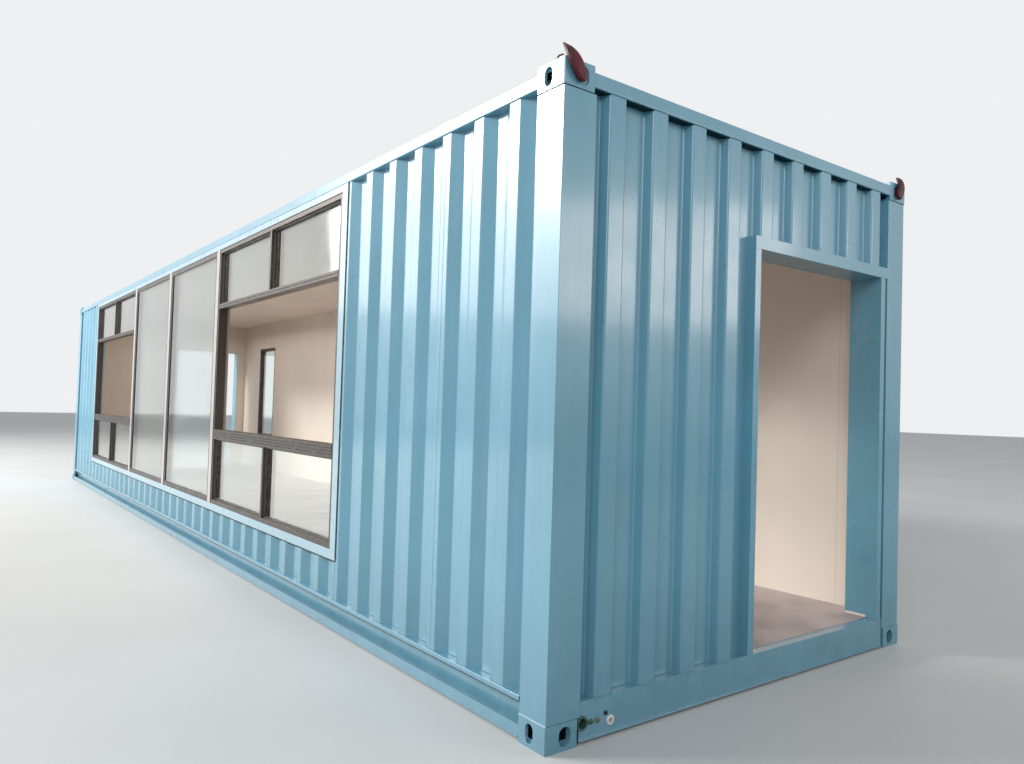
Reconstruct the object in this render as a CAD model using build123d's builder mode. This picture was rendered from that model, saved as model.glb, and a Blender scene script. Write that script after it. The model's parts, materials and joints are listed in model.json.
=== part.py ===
from build123d import *
import os

os.makedirs("parts", exist_ok=True)

# A forty-foot shipping container turned into a cabin, in millimetres.
# X runs along the length, the door end is at +X, the glazed front faces -Y,
# Z is up and the origin lies on the ground under the middle of the container.

# Overall size of the container
length = 12192
width = 2438
height = 2591
half_length = length / 2
half_width = width / 2

# Corner castings
casting_x = 178
casting_y = 150
casting_z = 104
casting_plate = 28
casting_side_wall = 13
casting_end_wall = 30
casting_back_wall = 12
casting_chamfer = 4
casting_cavity_x = casting_x - casting_end_wall - casting_back_wall
casting_cavity_y = casting_y - 2 * casting_side_wall
casting_cavity_z = casting_z - casting_plate - casting_back_wall
slot_length = 124.5
slot_width = 63.5
side_hole_width = 49
end_hole_width = 56
wall_hole_height = 74
slot_from_end = 103.5
slot_from_side = 89.5
lock_spacing_x = length - 2 * slot_from_end
lock_spacing_y = width - 2 * slot_from_side

# Steel frame: how far it stays inside the castings, and its sections
frame_inset = 4
rail_drop = 20
rail_size = 60
rail_wall = 3
rail_top = height - rail_drop
rail_underside = rail_top - rail_size
post_x = casting_x
post_y = 162
post_plate = 6
post_side_return = 48
post_end_return = 56
sill_bottom = 12
side_sill_top = 170
side_sill_flange = 48
side_sill_foot = 30
side_sill_plate = 4.5
end_sill_top = 160
end_sill_flange = 60
end_sill_plate = 4

# Corrugated sheets
sheet = 2
side_inset = 10
side_recess_depth = 36
side_recess_mouth = 206
side_recess_floor = 70
side_first_recess = 204
side_recess_count = 43
side_pitch = (length - 2 * side_first_recess) / (side_recess_count - 1)
end_inset = 10
end_recess_depth = 45
end_recess_mouth = 150
end_recess_floor = 114
end_pitch = 235
end_recess_count = 10

# Insulated lining, ceiling and floor
side_wall_thickness = 100
end_wall_thickness = 200
lining_back = frame_inset + side_sill_flange
end_lining_back = end_inset + end_recess_depth + sheet + 3
deck_top = 165
deck_thickness = 28
deck_bottom = deck_top - deck_thickness
glazing_head_height = 40
ceiling_underside = rail_underside - glazing_head_height
ceiling_thickness = 38
cross_member_height = 122
cross_member_width = 45
cross_member_plate = 4
cross_member_from_end = 506
cross_member_count = 27
cross_member_pitch = (length - 2 * cross_member_from_end) / (cross_member_count - 1)

# Roof sheet with stamped ribs
roof_lap = 30
roof_rib_height = 14
roof_rib_width = 112
roof_rib_from_end = 348.5
roof_rib_count = 56
roof_rib_pitch = (length - 2 * roof_rib_from_end) / (roof_rib_count - 1)
roof_rib_margin = 150
roof_rib_taper = 35

# Doorway, the same at both ends
door_width = 1040
door_face = 40
door_post_gap = 21
door_high_y = half_width - post_y - door_post_gap - door_face
door_low_y = door_high_y - door_width
door_head_z = 2040
door_head_face = 60
door_plate = 3
door_foot_gap = 12

# Glazing in the front wall: how far it stays from each end of the container, and its bays
glazing_from_door_end = 2097
glazing_from_far_end = 1723
outer_bay = 2497
mullion_width = 78
stile_width = 75
glazing_sill_height = 54
glazing_bottom = 442
glazing_top = ceiling_underside
glazing_length = length - glazing_from_door_end - glazing_from_far_end
inner_bay = (glazing_length - 2 * outer_bay - 3 * mullion_width) / 2
tube_wall = 3

# Aluminium window frames and glass
window_bar = 30
window_depth = 65
window_setback = 8
mullion_bar = 30
transom_bar = 40
upper_transom_z = glazing_top - 461
lower_transom_bar = 78
lower_transom_z = glazing_bottom + 548
glass_thickness = 8
glass_setback = 31

# Rear window
rear_window_from_far_end = 995
rear_window_width = 724
rear_window_bottom = 700
rear_window_top = 2090

# Service stubs in the sill of the door end: distance from the front face, height, radius, bore
stub_reach = 50
waste_pipe = (176, 78, 24, 17)
water_pipe = (317, 60, 18, 10)
gland_radius = 9
gland_proud = 8
cable_glands = [(y - half_width, z) for y, z in ((219, 80), (252, 77), (294, 93))]

# Lifting hooks of the door end: the front one leans outwards and is long, the rear one stands upright.
# Each has its side of the container, its lean in degrees, its reach and how far it bulges.
hook_thickness = 30
hook_foot = 28
hooks = ((-1, 31, 146, 30), (1, 0, 97, 49))


def at_corners(from_end, z):
    """Middle points of the four castings, or of their cavities, at a distance from the end and a height."""
    x = half_length - from_end
    y = half_width - casting_y / 2
    return [(sx * x, sy * y, z) for sx in (-1, 1) for sy in (-1, 1)]


def wave(start, end, centres, mouth, floor, depth):
    """Line of a corrugated sheet from start to end, as (place, depth) pairs."""

    def depth_at(place):
        reach = min(abs(place - centre) for centre in centres)
        share = (mouth / 2 - reach) / (mouth / 2 - floor / 2)
        return depth * min(1, max(0, share))

    corners = [c + s for c in centres for s in (-mouth / 2, -floor / 2, floor / 2, mouth / 2)]
    places = [start] + [p for p in corners if start < p < end] + [end]
    return [(place, depth_at(place)) for place in places]


def ribbon(line, dx, dy):
    """Outline of a thin sheet: a line and the same line moved by dx and dy."""
    return line + [(x + dx, y + dy) for x, y in reversed(line)]


# Corner castings: hollow blocks with a slot in the face that meets a lock and a hole in each side
cavity_from_end = casting_end_wall + casting_cavity_x / 2
cavity_from_face = casting_plate + casting_cavity_z / 2
for level, centre_z, cavity_z, slot_z in (
    ("bottom", casting_z / 2, cavity_from_face, 0),
    ("top", height - casting_z / 2, height - cavity_from_face, height - casting_plate),
):
    with BuildPart() as castings:
        with Locations(*at_corners(casting_x / 2, centre_z)):
            Box(casting_x, casting_y, casting_z)
        chamfer(castings.edges().filter_by(Axis.Z), casting_chamfer)
        with Locations(*at_corners(cavity_from_end, cavity_z)):
            Box(casting_cavity_x, casting_cavity_y, casting_cavity_z, mode=Mode.SUBTRACT)
        with BuildSketch(Plane.XY.offset(slot_z)):
            with GridLocations(lock_spacing_x, lock_spacing_y, 2, 2):
                SlotOverall(slot_length, slot_width)
        extrude(amount=casting_plate, mode=Mode.SUBTRACT)
        for side in (-1, 1):
            with BuildSketch(Plane.XZ.offset(-side * half_width)):
                with Locations((-lock_spacing_x / 2, centre_z), (lock_spacing_x / 2, centre_z)):
                    SlotOverall(wall_hole_height, side_hole_width, rotation=90)
            extrude(amount=side * casting_side_wall, mode=Mode.SUBTRACT)
            with BuildSketch(Plane.YZ.offset(side * half_length)):
                with Locations((-lock_spacing_y / 2, centre_z), (lock_spacing_y / 2, centre_z)):
                    SlotOverall(wall_hole_height, end_hole_width, rotation=90)
            extrude(amount=-side * casting_end_wall, mode=Mode.SUBTRACT)
    castings.part.label = f"corner_castings_{level}"
    export_step(castings.part, f"parts/{castings.part.label}.step")

# Corner posts: folded open sections with a return at each edge
for end, sx in (("door_end", 1), ("far_end", -1)):
    with BuildPart() as posts:
        with BuildSketch(Plane.XY.offset(casting_z)):
            for sy in (-1, 1):
                outer_x = half_length - frame_inset
                outer_y = half_width - frame_inset
                inner_x = half_length - post_x
                inner_y = half_width - post_y
                fold = [
                    (inner_x, outer_y - post_side_return),
                    (inner_x, outer_y),
                    (outer_x, outer_y),
                    (outer_x, inner_y),
                    (outer_x - post_end_return, inner_y),
                    (outer_x - post_end_return, inner_y + post_plate),
                    (outer_x - post_plate, inner_y + post_plate),
                    (outer_x - post_plate, outer_y - post_plate),
                    (inner_x + post_plate, outer_y - post_plate),
                    (inner_x + post_plate, outer_y - post_side_return),
                ]
                with BuildLine():
                    Polyline(*[(sx * x, sy * y) for x, y in fold], close=True)
                make_face()
        extrude(amount=height - 2 * casting_z)
    posts.part.label = f"{end}_posts"
    export_step(posts.part, f"parts/{posts.part.label}.step")

# Long rails between the castings: a square tube above, an open channel below
rail_span = length - 2 * casting_x
for side, sy in (("front", -1), ("rear", 1)):
    with BuildPart() as top_rail:
        with BuildSketch(Plane.YZ.offset(-rail_span / 2)):
            centre_y = sy * (half_width - frame_inset - rail_size / 2)
            with Locations((centre_y, rail_underside + rail_size / 2)):
                RectangleRounded(rail_size, rail_size, 2 * rail_wall)
                Rectangle(rail_size - 2 * rail_wall, rail_size - 2 * rail_wall, mode=Mode.SUBTRACT)
        extrude(amount=rail_span)
    top_rail.part.label = f"{side}_top_rail"
    export_step(top_rail.part, f"parts/{top_rail.part.label}.step")

    with BuildPart() as bottom_rail:
        flange_edge = half_width - frame_inset
        web_back = flange_edge - side_sill_flange
        foot_edge = web_back + side_sill_foot
        web_front = web_back + side_sill_plate
        channel = [
            (web_back, sill_bottom),
            (foot_edge, sill_bottom),
            (foot_edge, sill_bottom + side_sill_plate),
            (web_front, sill_bottom + side_sill_plate),
            (web_front, side_sill_top - side_sill_plate),
            (flange_edge, side_sill_top - side_sill_plate),
            (flange_edge, side_sill_top),
            (web_back, side_sill_top),
        ]
        with BuildSketch(Plane.YZ.offset(-rail_span / 2)):
            with BuildLine():
                Polyline(*[(sy * y, z) for y, z in channel], close=True)
            make_face()
        extrude(amount=rail_span)
    bottom_rail.part.label = f"{side}_bottom_rail"
    export_step(bottom_rail.part, f"parts/{bottom_rail.part.label}.step")

# Short rails across the ends: a header tube above, a sill with an outward lip below
header_span = width - 2 * casting_y
end_sill_span = width - 2 * post_y
for end, sx in (("door_end", 1), ("far_end", -1)):
    with BuildPart() as header:
        with BuildSketch(Plane.XZ.offset(-header_span / 2)):
            centre_x = sx * (half_length - frame_inset - rail_size / 2)
            with Locations((centre_x, rail_underside + rail_size / 2)):
                RectangleRounded(rail_size, rail_size, 2 * rail_wall)
                Rectangle(rail_size - 2 * rail_wall, rail_size - 2 * rail_wall, mode=Mode.SUBTRACT)
        extrude(amount=header_span)
    header.part.label = f"{end}_header"
    export_step(header.part, f"parts/{header.part.label}.step")

    with BuildPart() as end_sill:
        web_face = half_length - end_inset
        flange_back = web_face - end_sill_flange
        section = [
            (flange_back, sill_bottom),
            (half_length, sill_bottom),
            (half_length, sill_bottom + end_sill_plate),
            (web_face, sill_bottom + end_sill_plate),
            (web_face, end_sill_top),
            (flange_back, end_sill_top),
            (flange_back, end_sill_top - end_sill_plate),
            (web_face - end_sill_plate, end_sill_top - end_sill_plate),
            (web_face - end_sill_plate, sill_bottom + end_sill_plate),
            (flange_back, sill_bottom + end_sill_plate),
        ]
        with BuildSketch(Plane.XZ.offset(-end_sill_span / 2)):
            with BuildLine():
                Polyline(*[(sx * x, z) for x, z in section], close=True)
            make_face()
        extrude(amount=end_sill_span)
        if sx > 0:
            for from_front, z, radius, bore in (waste_pipe, water_pipe):
                with Locations(Plane.YZ.offset(web_face) * Location((from_front - half_width, z, 0))):
                    Hole(radius, depth=2 * end_sill_plate)
    end_sill.part.label = f"{end}_sill"
    export_step(end_sill.part, f"parts/{end_sill.part.label}.step")

# Pipe ends and cable glands that come out through the sill of the door end
with BuildPart() as service_stubs:
    for from_front, z, radius, bore in (waste_pipe, water_pipe):
        with BuildSketch(Plane.YZ.offset(half_length - stub_reach)):
            with Locations((from_front - half_width, z)):
                Circle(radius)
                Circle(bore, mode=Mode.SUBTRACT)
        extrude(amount=stub_reach - frame_inset)
    with BuildSketch(Plane.YZ.offset(half_length - end_inset)):
        with Locations(*cable_glands):
            RegularPolygon(gland_radius, 6)
    extrude(amount=gland_proud)
service_stubs.part.label = "service_stubs"
export_step(service_stubs.part, "parts/service_stubs.step")

# Long walls: one corrugated sheet each, cut around the glazing or the rear window
side_wall_span = length - 2 * casting_x
side_centres = [-half_length + side_first_recess + k * side_pitch for k in range(side_recess_count)]
side_line = wave(
    -side_wall_span / 2, side_wall_span / 2, side_centres,
    side_recess_mouth, side_recess_floor, side_recess_depth,
)
side_face = half_width - side_inset
glazing_near_x = half_length - glazing_from_door_end
glazing_far_x = glazing_near_x - glazing_length
glazing_middle_x = (glazing_near_x + glazing_far_x) / 2
surround_length = glazing_length + 2 * stile_width
surround_bottom = glazing_bottom - glazing_sill_height
rear_window_x = -half_length + rear_window_from_far_end + rear_window_width / 2
rear_window_height = rear_window_top - rear_window_bottom
rear_window_z = (rear_window_top + rear_window_bottom) / 2

with BuildPart() as front_wall:
    with BuildSketch(Plane.XY.offset(side_sill_top)):
        with BuildLine():
            Polyline(*ribbon([(x, -side_face + d) for x, d in side_line], 0, sheet), close=True)
        make_face()
    extrude(amount=rail_underside - side_sill_top)
    with BuildSketch(Plane.XY.offset(surround_bottom)):
        with Locations((glazing_middle_x, -half_width)):
            Rectangle(surround_length, 2 * side_wall_thickness)
    extrude(amount=height - surround_bottom, mode=Mode.SUBTRACT)
front_wall.part.label = "front_wall"
export_step(front_wall.part, "parts/front_wall.step")

with BuildPart() as rear_wall:
    with BuildSketch(Plane.XY.offset(side_sill_top)):
        with BuildLine():
            Polyline(*ribbon([(x, side_face - d) for x, d in side_line], 0, -sheet), close=True)
        make_face()
    extrude(amount=rail_underside - side_sill_top)
    with BuildSketch(Plane.XZ.offset(-half_width)):
        with Locations((rear_window_x, rear_window_z)):
            Rectangle(rear_window_width, rear_window_height)
    extrude(amount=side_wall_thickness, mode=Mode.SUBTRACT)
rear_wall.part.label = "rear_wall"
export_step(rear_wall.part, "parts/rear_wall.step")

# End walls: a corrugated sheet beside the doorway and one over it
end_centres = [(k - (end_recess_count - 1) / 2) * end_pitch for k in range(end_recess_count)]
frame_low_y = door_low_y - door_face
frame_high_y = door_high_y + door_face
frame_top_z = door_head_z + door_head_face
post_edge_y = half_width - post_y
for end, sx in (("door_end", 1), ("far_end", -1)):
    for place, low_y, high_y, low_z in (
        ("side", -post_edge_y, frame_low_y, end_sill_top),
        ("over", frame_low_y, post_edge_y, frame_top_z),
    ):
        line = wave(low_y, high_y, end_centres, end_recess_mouth, end_recess_floor, end_recess_depth)
        face_x = half_length - end_inset
        with BuildPart() as end_wall:
            with BuildSketch(Plane.XY.offset(low_z)):
                with BuildLine():
                    Polyline(*ribbon([(sx * (face_x - d), y) for y, d in line], -sx * sheet, 0), close=True)
                make_face()
            extrude(amount=rail_underside - low_z)
        end_wall.part.label = f"{end}_wall_{place}"
        export_step(end_wall.part, f"parts/{end_wall.part.label}.step")

# Door frames: folded jambs that line the reveal, and a folded head
for end, sx in (("door_end", 1), ("far_end", -1)):
    front_x = half_length - frame_inset
    back_x = half_length - end_wall_thickness
    slot_x = half_length - end_inset - end_recess_depth - sheet
    low_jamb = [
        (back_x, door_low_y),
        (front_x, door_low_y),
        (front_x, frame_low_y),
        (slot_x, frame_low_y),
        (slot_x, frame_low_y + door_plate),
        (front_x - door_plate, frame_low_y + door_plate),
        (front_x - door_plate, door_low_y - door_plate),
        (back_x, door_low_y - door_plate),
    ]
    high_jamb = [
        (back_x, door_high_y),
        (front_x, door_high_y),
        (front_x, frame_high_y),
        (slot_x, frame_high_y),
        (slot_x, post_edge_y),
        (slot_x - door_plate, post_edge_y),
        (slot_x - door_plate, frame_high_y - door_plate),
        (front_x - door_plate, frame_high_y - door_plate),
        (front_x - door_plate, door_high_y + door_plate),
        (back_x, door_high_y + door_plate),
    ]
    with BuildPart() as jambs:
        with BuildSketch(Plane.XY.offset(end_sill_top)):
            for outline in (low_jamb, high_jamb):
                with BuildLine():
                    Polyline(*[(sx * x, y) for x, y in outline], close=True)
                make_face()
        extrude(amount=door_head_z - end_sill_top)
        with BuildSketch(Plane.XY.offset(end_sill_top)):
            with Locations((sx * (half_length - end_inset - end_sill_flange - end_wall_thickness / 2), 0)):
                Rectangle(end_wall_thickness, width)
        extrude(amount=deck_top + door_foot_gap - end_sill_top, mode=Mode.SUBTRACT)
    jambs.part.label = f"{end}_door_jambs"
    export_step(jambs.part, f"parts/{jambs.part.label}.step")

    head_section = [
        (front_x - door_plate, door_head_z),
        (front_x, door_head_z),
        (front_x, frame_top_z),
        (slot_x - door_plate, frame_top_z),
        (slot_x - door_plate, frame_top_z - door_plate),
        (front_x - door_plate, frame_top_z - door_plate),
    ]
    reveal_low_y = door_low_y - door_plate
    reveal_high_y = door_high_y + door_plate
    with BuildPart() as head:
        with BuildSketch(Plane.XZ.offset(-post_edge_y)):
            with BuildLine():
                Polyline(*[(sx * x, z) for x, z in head_section], close=True)
            make_face()
        extrude(amount=post_edge_y - frame_low_y)
        with BuildSketch(Plane.XY.offset(door_head_z)):
            with Locations((sx * (front_x + back_x) / 2, (reveal_low_y + reveal_high_y) / 2)):
                Rectangle(front_x - back_x, reveal_high_y - reveal_low_y)
        extrude(amount=door_plate)
    head.part.label = f"{end}_door_head"
    export_step(head.part, f"parts/{head.part.label}.step")

# Glazing surround: welded tubes that run through the whole wall thickness
tube_depth = side_wall_thickness - frame_inset
tube_y = -half_width + frame_inset + tube_depth / 2
glazing_posts_x = [
    glazing_near_x + stile_width / 2,
    glazing_near_x - outer_bay - mullion_width / 2,
    glazing_near_x - outer_bay - mullion_width - inner_bay - mullion_width / 2,
    glazing_far_x + outer_bay + mullion_width / 2,
    glazing_far_x - stile_width / 2,
]
glazing_posts_width = [stile_width, mullion_width, mullion_width, mullion_width, stile_width]
with BuildPart() as glazing_posts:
    with BuildSketch(Plane.XY.offset(glazing_bottom)):
        for x, post_width in zip(glazing_posts_x, glazing_posts_width):
            with Locations((x, tube_y)):
                Rectangle(post_width, tube_depth)
                Rectangle(post_width - 2 * tube_wall, tube_depth - 2 * tube_wall, mode=Mode.SUBTRACT)
    extrude(amount=glazing_top - glazing_bottom)
glazing_posts.part.label = "glazing_posts"
export_step(glazing_posts.part, "parts/glazing_posts.step")

for name, low_z, high_z in (
    ("glazing_sill", surround_bottom, glazing_bottom),
    ("glazing_head", glazing_top, rail_underside),
):
    with BuildPart() as cross_tube:
        with BuildSketch(Plane.YZ.offset(glazing_middle_x - surround_length / 2)):
            with Locations((tube_y, (low_z + high_z) / 2)):
                Rectangle(tube_depth, high_z - low_z)
                Rectangle(tube_depth - 2 * tube_wall, high_z - low_z - 2 * tube_wall, mode=Mode.SUBTRACT)
        extrude(amount=surround_length)
    cross_tube.part.label = name
    export_step(cross_tube.part, f"parts/{name}.step")

# Windows: an outer bay has glazed lights above and below an open one, an inner bay is one fixed pane
window_height = glazing_top - glazing_bottom
window_z = (glazing_top + glazing_bottom) / 2
window_front_y = -half_width + window_setback
glass_plane = Plane.XZ.offset(-window_front_y - glass_setback)
near_window_x = glazing_near_x - outer_bay / 2
far_window_x = glazing_far_x + outer_bay / 2
near_fixed_x = glazing_near_x - outer_bay - mullion_width - inner_bay / 2
far_fixed_x = glazing_far_x + outer_bay + mullion_width + inner_bay / 2
upper_light_bottom = upper_transom_z + transom_bar / 2
open_light_top = upper_transom_z - transom_bar / 2
open_light_bottom = lower_transom_z + lower_transom_bar / 2
lower_light_top = lower_transom_z - lower_transom_bar / 2
light_top = glazing_top - window_bar
light_bottom = glazing_bottom + window_bar


def window_lights(middle_x):
    """Low and high corners, as (x, z), of an outer bay's four glazed lights and of its open light."""
    low_x = middle_x - outer_bay / 2 + window_bar
    high_x = middle_x + outer_bay / 2 - window_bar
    left_x = middle_x - mullion_bar / 2
    right_x = middle_x + mullion_bar / 2
    glazed = [
        ((low_x, upper_light_bottom), (left_x, light_top)),
        ((right_x, upper_light_bottom), (high_x, light_top)),
        ((low_x, light_bottom), (left_x, lower_light_top)),
        ((right_x, light_bottom), (high_x, lower_light_top)),
    ]
    return glazed, ((low_x, open_light_bottom), (high_x, open_light_top))


for place, middle_x in (("near", near_window_x), ("far", far_window_x)):
    glazed_lights, open_light = window_lights(middle_x)
    with BuildPart() as window_frame:
        with BuildSketch(Plane.XZ.offset(-window_front_y)):
            with Locations((middle_x, window_z)):
                Rectangle(outer_bay, window_height)
            for (x0, z0), (x1, z1) in glazed_lights + [open_light]:
                with Locations(((x0 + x1) / 2, (z0 + z1) / 2)):
                    Rectangle(x1 - x0, z1 - z0, mode=Mode.SUBTRACT)
        extrude(amount=-window_depth)
    window_frame.part.label = f"{place}_window_frame"
    export_step(window_frame.part, f"parts/{window_frame.part.label}.step")

    with BuildPart() as window_glass:
        with BuildSketch(glass_plane):
            for (x0, z0), (x1, z1) in glazed_lights:
                with Locations(((x0 + x1) / 2, (z0 + z1) / 2)):
                    Rectangle(x1 - x0, z1 - z0)
        extrude(amount=-glass_thickness)
    window_glass.part.label = f"{place}_window_glass"
    export_step(window_glass.part, f"parts/{window_glass.part.label}.step")

with BuildPart() as fixed_window_frames:
    with BuildSketch(Plane.XZ.offset(-window_front_y)):
        with Locations((near_fixed_x, window_z), (far_fixed_x, window_z)):
            Rectangle(inner_bay, window_height)
            Rectangle(inner_bay - 2 * window_bar, window_height - 2 * window_bar, mode=Mode.SUBTRACT)
    extrude(amount=-window_depth)
fixed_window_frames.part.label = "fixed_window_frames"
export_step(fixed_window_frames.part, "parts/fixed_window_frames.step")

with BuildPart() as fixed_window_glass:
    with BuildSketch(glass_plane):
        with Locations((near_fixed_x, window_z), (far_fixed_x, window_z)):
            Rectangle(inner_bay - 2 * window_bar, window_height - 2 * window_bar)
    extrude(amount=-glass_thickness)
fixed_window_glass.part.label = "fixed_window_glass"
export_step(fixed_window_glass.part, "parts/fixed_window_glass.step")

with BuildPart() as rear_window_frame:
    with BuildSketch(Plane.XZ.offset(-half_width + side_inset)):
        with Locations((rear_window_x, rear_window_z)):
            Rectangle(rear_window_width, rear_window_height)
            Rectangle(
                rear_window_width - 2 * window_bar,
                rear_window_height - 2 * window_bar,
                mode=Mode.SUBTRACT,
            )
    extrude(amount=side_wall_thickness - side_inset)
rear_window_frame.part.label = "rear_window_frame"
export_step(rear_window_frame.part, "parts/rear_window_frame.step")

with BuildPart() as rear_window_glass:
    with BuildSketch(Plane.XZ.offset(-half_width + side_wall_thickness / 2)):
        with Locations((rear_window_x, rear_window_z)):
            Rectangle(rear_window_width - 2 * window_bar, rear_window_height - 2 * window_bar)
    extrude(amount=glass_thickness)
rear_window_glass.part.label = "rear_window_glass"
export_step(rear_window_glass.part, "parts/rear_window_glass.step")

# Insulated linings of the long walls
lining_length = length - 2 * end_lining_back
lining_height = ceiling_underside - deck_top
lining_thickness = side_wall_thickness - lining_back
with BuildPart() as front_lining:
    with BuildSketch(Plane.XY.offset(deck_top)):
        with Locations((0, -half_width + lining_back + lining_thickness / 2)):
            Rectangle(lining_length, lining_thickness)
    extrude(amount=lining_height)
    with BuildSketch(Plane.XY.offset(surround_bottom)):
        with Locations((glazing_middle_x, -half_width)):
            Rectangle(surround_length, 3 * side_wall_thickness)
    extrude(amount=height - surround_bottom, mode=Mode.SUBTRACT)
front_lining.part.label = "front_lining"
export_step(front_lining.part, "parts/front_lining.step")

with BuildPart() as rear_lining:
    with BuildSketch(Plane.XY.offset(deck_top)):
        with Locations((0, half_width - lining_back - lining_thickness / 2)):
            Rectangle(lining_length, lining_thickness)
    extrude(amount=lining_height)
    with BuildSketch(Plane.XZ.offset(-half_width)):
        with Locations((rear_window_x, rear_window_z)):
            Rectangle(rear_window_width, rear_window_height)
    extrude(amount=2 * side_wall_thickness, mode=Mode.SUBTRACT)
rear_lining.part.label = "rear_lining"
export_step(rear_lining.part, "parts/rear_lining.step")

# Insulated linings of the end walls: boards beside the doorway and one over it
end_lining_thickness = end_wall_thickness - end_lining_back
room_edge_y = half_width - side_wall_thickness
for end, sx in (("door_end", 1), ("far_end", -1)):
    lining_x = sx * (half_length - end_lining_back - end_lining_thickness / 2)
    reveal_low_y = door_low_y - door_plate
    reveal_high_y = door_high_y + door_plate
    reveal_top_z = door_head_z + door_plate
    with BuildPart() as lining_side:
        with BuildSketch(Plane.XY.offset(deck_top)):
            for low_y, high_y in ((-room_edge_y, reveal_low_y), (reveal_high_y, room_edge_y)):
                with Locations((lining_x, (low_y + high_y) / 2)):
                    Rectangle(end_lining_thickness, high_y - low_y)
        extrude(amount=lining_height)
    lining_side.part.label = f"{end}_lining_side"
    export_step(lining_side.part, f"parts/{lining_side.part.label}.step")

    with BuildPart() as lining_over:
        with BuildSketch(Plane.XY.offset(reveal_top_z)):
            with Locations((lining_x, (reveal_low_y + reveal_high_y) / 2)):
                Rectangle(end_lining_thickness, reveal_high_y - reveal_low_y)
        extrude(amount=ceiling_underside - reveal_top_z)
    lining_over.part.label = f"{end}_lining_over"
    export_step(lining_over.part, f"parts/{lining_over.part.label}.step")

# Ceiling board on top of the linings
with BuildPart() as ceiling_panel:
    low_y = -half_width + side_wall_thickness
    high_y = half_width - end_lining_back
    with BuildSketch(Plane.XY.offset(ceiling_underside)):
        with Locations((0, (low_y + high_y) / 2)):
            Rectangle(rail_span - frame_inset, high_y - low_y)
    extrude(amount=ceiling_thickness)
ceiling_panel.part.label = "ceiling_panel"
export_step(ceiling_panel.part, "parts/ceiling_panel.step")

# Floor deck between the sills, notched around the corner posts
deck_length = length - 2 * (end_inset + end_sill_flange)
deck_width = width - 2 * lining_back
with BuildPart() as floor_deck:
    with BuildSketch(Plane.XY.offset(deck_bottom)):
        Rectangle(deck_length, deck_width)
        with GridLocations(length - post_x, width - post_y, 2, 2):
            Rectangle(post_x, post_y, mode=Mode.SUBTRACT)
    extrude(amount=deck_thickness)
floor_deck.part.label = "floor_deck"
export_step(floor_deck.part, "parts/floor_deck.step")

# Cross members: pressed channels under the deck, from one bottom rail to the other
with BuildPart() as floor_cross_members:
    with BuildSketch(Plane.XZ.offset(-deck_width / 2)):
        with Locations((0, deck_bottom - cross_member_height / 2)):
            with GridLocations(cross_member_pitch, 0, cross_member_count, 1):
                Rectangle(cross_member_width, cross_member_height)
            with GridLocations(cross_member_pitch, 0, cross_member_count, 1):
                with Locations((cross_member_plate, 0)):
                    Rectangle(
                        cross_member_width,
                        cross_member_height - 2 * cross_member_plate,
                        mode=Mode.SUBTRACT,
                    )
    extrude(amount=deck_width)
floor_cross_members.part.label = "floor_cross_members"
export_step(floor_cross_members.part, "parts/floor_cross_members.step")

# Roof sheet: flat margins on the rails and stamped ribs across the roof
roof_length = length - 2 * (frame_inset + roof_lap)
roof_width = width - 2 * (frame_inset + roof_lap)
rib_length = width - 2 * roof_rib_margin
with BuildPart() as roof_panel:
    with BuildSketch(Plane.XY.offset(rail_top)):
        Rectangle(roof_length, roof_width)
        with GridLocations(length - casting_x, width - casting_y, 2, 2):
            Rectangle(casting_x, casting_y, mode=Mode.SUBTRACT)
    extrude(amount=sheet)
    with BuildSketch(Plane.XY.offset(rail_top + sheet)):
        with GridLocations(roof_rib_pitch, 0, roof_rib_count, 1):
            Rectangle(roof_rib_width, rib_length)
    extrude(amount=roof_rib_height, taper=roof_rib_taper)
    with BuildSketch(Plane.XY.offset(rail_top)):
        with GridLocations(roof_rib_pitch, 0, roof_rib_count, 1):
            Rectangle(roof_rib_width - 2 * sheet, rib_length - 2 * sheet)
    extrude(amount=roof_rib_height, taper=roof_rib_taper, mode=Mode.SUBTRACT)
roof_panel.part.label = "roof_panel"
export_step(roof_panel.part, "parts/roof_panel.step")

# Lifting hooks: forged claws with a foot in the end hole of each top casting of the door end
hook_hole_z = height - casting_z / 2
with BuildPart() as lifting_hooks:
    for sy, lean, reach, bulge in hooks:
        claw_plane = Plane(
            origin=(half_length, sy * lock_spacing_y / 2, hook_hole_z),
            x_dir=(1, 0, 0),
            z_dir=Vector(0, -1, 0).rotate(Axis.X, -sy * lean),
        )
        with BuildSketch(claw_plane):
            with BuildLine():
                Polyline((0, 44), (0, 14), (-hook_foot, 14), (-hook_foot, -16), (0, -16), (0, -35), (6, -37))
                ThreePointArc((6, -37), (bulge, reach / 4), (4, reach))
                Line((4, reach), (-3, reach - 4))
                ThreePointArc((-3, reach - 4), (bulge / 4, 0.7 * reach), (0, 44))
            make_face()
        extrude(amount=hook_thickness / 2, both=True)
lifting_hooks.part.label = "lifting_hooks"
export_step(lifting_hooks.part, "parts/lifting_hooks.step")
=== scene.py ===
# %% [markdown]
# # A shipping container cabin, dressed in Blender
#
# The real object is a forty-foot steel container turned into a cabin: corrugated
# walls, a long glazed front, an open doorway at each end and a lined room. Its solids
# come from a CAD model. This lesson never moves them. It gives them paint, metal, glass
# and board, adds the thin things that a CAD model leaves out, and then sets a floor,
# light and a camera round them.
#
# The first cell loads the imported model. Every number after it is in metres, in the same
# frame: +X along the container towards the near doorway, -Y out of the glazed front,
# +Z up, with the origin on the ground under the middle.

# %% Load the fixed frame
import json
import math

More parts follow.
